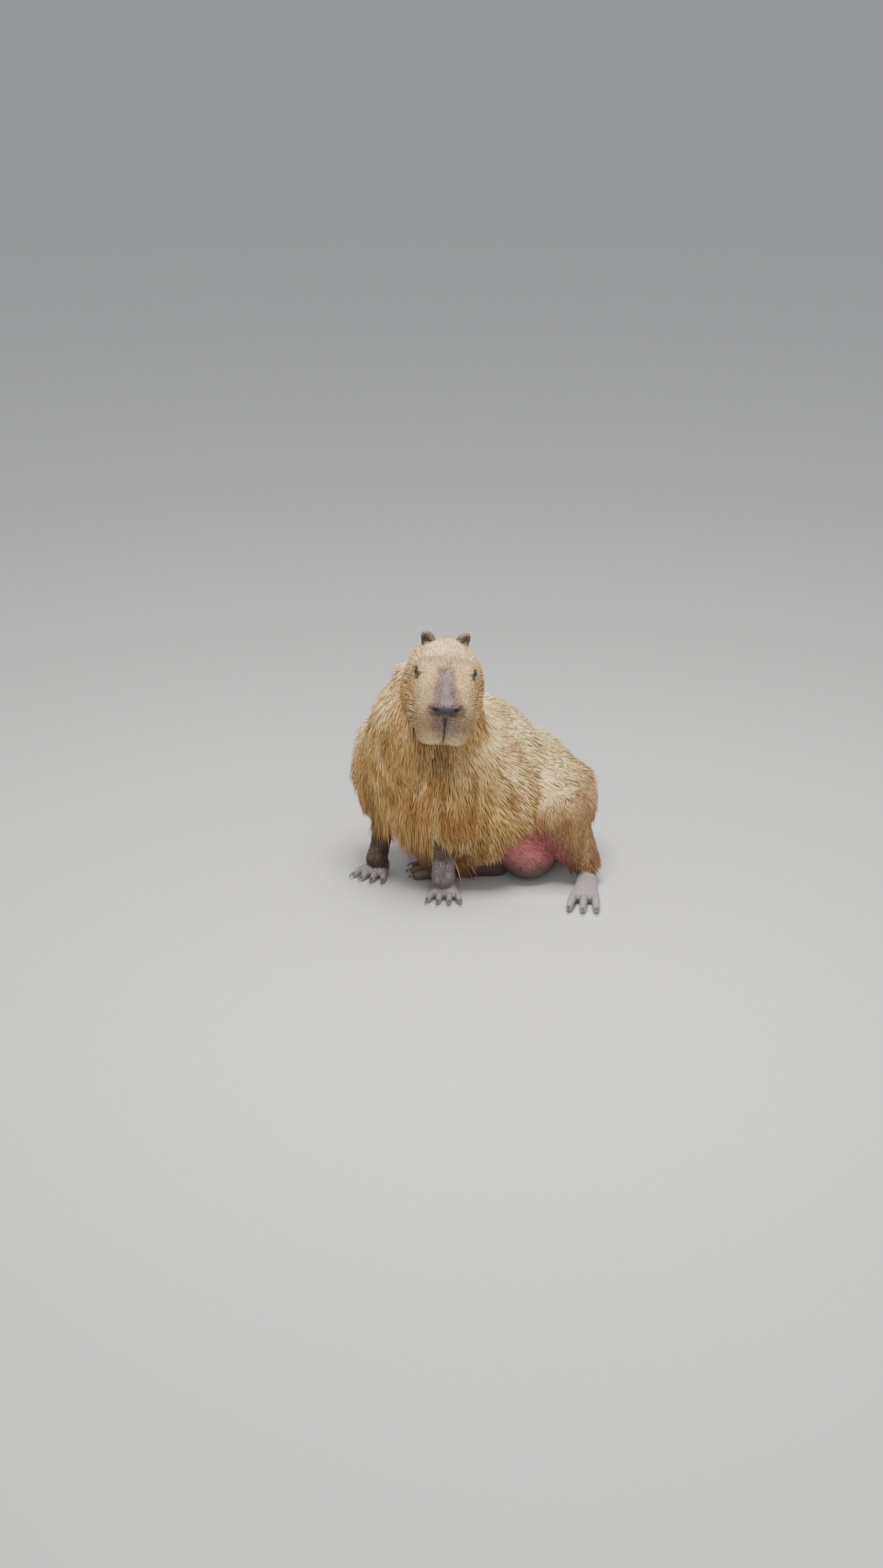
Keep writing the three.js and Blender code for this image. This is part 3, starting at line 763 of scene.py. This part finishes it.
share = 1.0
tri_part = label[tri_points[:, 0]]
corner = shaped[tri_points]
tri_area = 0.5 * np.linalg.norm(
    np.cross(corner[:, 1] - corner[:, 0], corner[:, 2] - corner[:, 0]), axis=1
)


def tuft_faces(bends):
    """The triangles of one tuft: its closed root, its sides and its tip."""
    faces = [(0, 1, 2)]
    for row in range(0, 3 * bends, 3):
        for k in range(3):
            n = (k + 1) % 3
            faces.append((row + k, row + 3 + k, row + 3 + n))
            faces.append((row + k, row + 3 + n, row + n))
    for k in range(3):
        faces.append((3 * bends + k, 3 * bends + 3, 3 * bends + (k + 1) % 3))
    return np.array(faces)


def tuft_mesh(name, tufts, faces, colours, map_places):
    """One mesh of many tufts, given the points of each, their colours and map places."""
    number, corners = tufts.shape[:2]
    every = (faces[None] + corners * np.arange(number)[:, None, None]).reshape(-1)
    mesh = bpy.data.meshes.new(name)
    mesh.vertices.add(number * corners)
    mesh.vertices.foreach_set("co", tufts.ravel())
    mesh.loops.add(len(every))
    mesh.loops.foreach_set("vertex_index", every)
    mesh.polygons.add(len(every) // 3)
    mesh.polygons.foreach_set("loop_start", np.arange(0, len(every), 3))
    mesh.update(calc_edges=True)
    keep_markings(mesh, np.clip(colours.reshape(-1, 3), 0, 1))
    layer = mesh.uv_layers.new(name="OFBake")
    layer.uv.foreach_set("vector", map_places.reshape(-1, 2)[every].ravel())
    mesh.materials.append(hair_material)
    return mesh


def make_coat(name, weight, tufts, shape, long, wide, lift, droop):
    """A coat whose tufts are spread by weight times area, in pieces of limited size."""
    how_many = int(tufts * share)
    chance = weight * tri_area
    chosen = CHANCE.choice(len(chance), how_many, p=chance / chance.sum())
    mix = CHANCE.dirichlet((1, 1, 1), how_many)
    near_points = tri_points[chosen]

    def at_root(corner_values):
        """One value for each root, mixed from those at its triangle's corners."""
        return (corner_values * mix[:, :, None]).sum(1)

    root = at_root(corner[chosen])
    outward = unit(at_root(outward_calm[near_points]))
    along = laid_flat(at_root(flow[near_points]), outward)
    swing = CHANCE.normal(0, 0.13, how_many)[:, None]
    along = unit(along * np.cos(swing) + np.cross(along, outward) * np.sin(swing))
    sideways = np.cross(along, outward)
    clump = 0.8 + 0.3 * waves(root * STRAND_STRETCH, CLUMPS, 2.2)
    clump = clump + CHANCE.uniform(-0.2, 0.2, how_many)
    length = (long * clump)[:, None]
    width = (wide * CHANCE.uniform(0.7, 1.25, how_many))[:, None]
    rise = (lift * CHANCE.uniform(0.6, 1.3, how_many))[:, None]

    rows = []
    for part_way, wide_here, high_here, _ in shape:
        middle = root + along * length * part_way + outward * length * rise * high_here * part_way
        middle = middle - outward * ROOT_DEPTH * (part_way == 0)
        middle = middle + GROUNDWARD * length * droop * part_way**2
        half = sideways * width * wide_here * 0.5
        rows += [middle - half, middle + outward * width * wide_here * RIDGE, middle + half]
    tip = root + along * length + outward * length * rise * TIP_HIGH
    stack = np.stack(rows + [tip + GROUNDWARD * length * droop], axis=1)
    stack[:, :, 2] = np.maximum(stack[:, :, 2], HAIR_FLOOR)

    own_amount = (tint_amount[near_points] * mix).sum(1)
    base = markings(root, outward, at_root(tint[near_points]), own_amount)
    base = base * CHANCE.uniform(0.72, 1.18, how_many)[:, None]
    # each row's shade darkens the tuft towards its root, painted shade deep in the coat
    shade = np.array([row[3] for row in shape for _ in range(3)] + [TIP_SHADE])
    colours = base[:, None, :] * shade[None, :, None]
    patch = np.array([(k % 3 / 2 - 0.5, k // 3 / 3 - 0.5) for k in range(len(shade))]) * MAP_PATCH
    map_places = at_root(flat_map[tri_loops[chosen]])[:, None, :] + patch[None]

    faces = tuft_faces(len(shape) - 1)
    per_piece = PIECE_TRIANGLES // len(faces)
    starts = range(0, how_many, per_piece)
    for number, start in enumerate(starts, 1):
        some = slice(start, start + per_piece)
        mesh = tuft_mesh(f"{name}_{number}", stack[some], faces, colours[some], map_places[some])
        piece = bpy.data.objects.new(mesh.name, mesh)
        bpy.context.scene.collection.objects.link(piece)
        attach(piece, "root")
    print(name, "tufts:", how_many, "pieces:", len(starts))


def on_triangles(*words):
    """1 for each skin triangle whose part's name holds one of the words."""
    return np.isin(tri_part, named(*words)).astype(float)


# %% Coat of the body
tri_middle = corner.mean(1)
across, behind, tall = tri_middle.T
tri_up = outward_calm[tri_points].mean(1)[:, 2]
tri_bare = bare_groin(tri_middle)
shaggy = on_triangles(*LONG_COATED) * (1 - tri_bare)
back = shaggy * soft_step(0.3, 0.65, tri_up)
belly = on_triangles("torso") * (1 - tri_bare) * soft_step(0.0, -0.35, tri_up)
belly = belly * soft_step(0.08, -0.02, behind) * soft_step(-0.03, -0.08, across)
hip = on_triangles("left_thigh", "torso") * at_hip(tri_middle)
shin = on_triangles("left_shank") * soft_step(0.05, 0.11, tall)
sparse = on_triangles("torso", "left_thigh") * tri_bare * soft_step(0.05, 0.09, tall)

make_coat(
    "chest_coat", shaggy - back, 41000, BENT_TUFT,
    long=0.062, wide=0.0046, lift=0.3, droop=0.16,
)
make_coat(
    "back_coat", back, 14000, BENT_TUFT,
    long=0.046, wide=0.0044, lift=0.17, droop=0.02,
)
make_coat(
    "belly_coat", belly, 2600, BENT_TUFT,
    long=0.085, wide=0.005, lift=0.1, droop=0.8,
)
make_coat(
    "hip_coat", hip, 1300, BENT_TUFT,
    long=0.046, wide=0.0048, lift=0.42, droop=0.05,
)
make_coat(
    "shin_coat", shin, 5200, SHORT_TUFT,
    long=0.034, wide=0.0038, lift=0.3, droop=0.1,
)
make_coat(
    "groin_hair", sparse, 1200, SHORT_TUFT,
    long=0.012, wide=0.0013, lift=0.2, droop=0.0,
)

# %% Coat of the head, ears and forearms
tri_local = in_head(tri_middle)
ahead, aside, high = tri_local.T
nose_end = soft_step(0.224, 0.234, ahead)
gland_bare = hump(aside, 0, 0.021, 4) * soft_step(0.13, 0.15, ahead) * soft_step(0.0, 0.02, high)
pad_bare = hump(aside, 0, 0.042, 8) * hump(pad_level(ahead, high), PAD_HIGH, 0.014, 6)
split_bare = hump(aside, 0, 0.0035, 4)
bald = np.maximum(gland_bare, nose_end * np.maximum(pad_bare, split_bare))
for eye in EYE_PLACES:
    from_eye = np.linalg.norm(tri_local - eye - [0.007, 0, 0], axis=1)
    bald = np.maximum(bald, soft_step(0.02, 0.015, from_eye))
face = on_triangles("head") * (1 - bald)
muzzle = face * soft_step(0.205, 0.225, ahead)
middle_face = face * soft_step(0.225, 0.205, ahead) * soft_step(0.1, 0.14, ahead)
back_face = face * soft_step(0.14, 0.1, ahead)
low_jaw = soft_step(0.0, -0.05, high) * soft_step(0.225, 0.15, ahead)
back_cheek = soft_step(0.055, 0.075, np.abs(aside)) * soft_step(0.12, 0.07, ahead)
limbs = on_triangles("forearm") + on_triangles("right_shank")

make_coat(
    "muzzle_coat", muzzle, 7500, SHORT_TUFT,
    long=0.0105, wide=0.002, lift=0.34, droop=0.02,
)
make_coat(
    "face_coat", middle_face, 11000, SHORT_TUFT,
    long=0.017, wide=0.0026, lift=0.32, droop=0.04,
)
make_coat(
    "crown_coat", back_face, 11000, SHORT_TUFT,
    long=0.02, wide=0.0028, lift=0.2, droop=0.04,
)
make_coat(
    "jowl_coat", face * np.maximum(low_jaw, back_cheek), 8500, BENT_TUFT,
    long=0.044, wide=0.0038, lift=0.3, droop=0.14,
)
make_coat(
    "ear_coat", on_triangles("_ear"), 1600, SHORT_TUFT,
    long=0.007, wide=0.0015, lift=0.25, droop=0.0,
)
make_coat(
    "limb_coat", limbs, 7000, SHORT_TUFT,
    long=0.014, wide=0.0024, lift=0.2, droop=0.04,
)

# %% [markdown]
# ## Eyes and claws
#
# The eyes are wet dark balls set under the lids. The claws are blunt hoof-like nails, one on
# each toe, smoothed from the solids so that they keep their exact places.

# %% Eyes
for side in ("left", "right"):
    low_corner, high_corner = (np.array(c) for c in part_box(f"{side}_eye"))
    middle = tuple((low_corner + high_corner) / 2)
    bpy.ops.mesh.primitive_uv_sphere_add(
        segments=48, ring_count=24, radius=EYE_RADIUS, location=middle
    )
    ball = bpy.context.active_object
    ball.name = f"{side}_eyeball"
    ball.data.materials.append(eye_dark)
    bpy.ops.object.shade_smooth()
    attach(ball, "root")
    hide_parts(f"{side}_eye")
print("eyes set")

# %% Claws
for name in sorted(n for n in nodes if "claw" in n):
    claw = copy_of(name)
    claw.name = name + "_nail"
    claw.data.materials.clear()
    claw.data.materials.append(horn)
    choose([claw], claw)
    rounding = claw.modifiers.new("rounding", "SUBSURF")
    rounding.levels = 2
    rounding.render_levels = 2
    bpy.ops.object.modifier_apply(modifier=rounding.name)
    bpy.ops.object.shade_smooth()
    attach(claw, "root")
    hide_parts(name)
print("claws set")

# %% [markdown]
# ## Floor, light and camera
#
# The photo was taken from a little above and some way off, with a long lens. The floor is plain
# and pale, and soft light comes mostly from above, as it does in the photo.

# %% Floor and light
bpy.ops.mesh.primitive_plane_add(size=30, location=(0, 0, 0))
floor = bpy.context.active_object
floor.name = "floor"
floor.data.materials.append(plain_material("floor", FLOOR_PALE, roughness=0.9))


def lamp(name, place, aim, size, watts):
    """A soft square lamp at a place, turned to what it lights."""
    data = bpy.data.lights.new(name, "AREA")
    data.size = size
    data.energy = watts
    made = bpy.data.objects.new(name, data)
    made.location = place
    made.rotation_euler = (Vector(aim) - Vector(place)).to_track_quat("-Z", "Y").to_euler()
    bpy.context.scene.collection.objects.link(made)


lamp("sky", place=(0.5, -0.7, 3.0), aim=(0, 0, 0.3), size=1.6, watts=150)
lamp("front", place=(2.6, -3.2, 2.0), aim=(0, 0, 0.35), size=2.4, watts=55)
world = bpy.data.worlds.new("studio")
bpy.context.scene.world = world
world.use_nodes = True
sky_light = world.node_tree.nodes["Background"].inputs
sky_light["Color"].default_value = (0.9, 0.93, 1.0, 1.0)
sky_light["Strength"].default_value = 0.55
print("lamps:", [light.name for light in bpy.data.lights])

# %% Camera
AZIMUTH, ELEVATION, DISTANCE = math.radians(38), math.radians(22), 8.0
AIM_HIGH = 0.3
PIXELS_A_METRE, PICTURE_TALL = 583.0, 2309.0  # in the photo's own pixels
OFF_CENTRE = (98.0, -23.5)

backward = Vector(
    (
        math.sin(AZIMUTH) * math.cos(ELEVATION),
        -math.cos(AZIMUTH) * math.cos(ELEVATION),
        math.sin(ELEVATION),
    )
)
camera_data = bpy.data.cameras.new("camera")
camera_data.sensor_width = 36
camera_data.lens = camera_data.sensor_width * PIXELS_A_METRE * DISTANCE / PICTURE_TALL
camera_data.shift_x, camera_data.shift_y = (v / PICTURE_TALL for v in OFF_CENTRE)
camera = bpy.data.objects.new("camera", camera_data)
camera.location = BODY_SHIFT + Vector((0, 0, AIM_HIGH)) + backward * DISTANCE
camera.rotation_mode = "QUATERNION"
camera.rotation_quaternion = (-backward).to_track_quat("-Z", "Y")
bpy.context.scene.collection.objects.link(camera)
bpy.context.scene.camera = camera
print("lens:", round(camera_data.lens, 1))
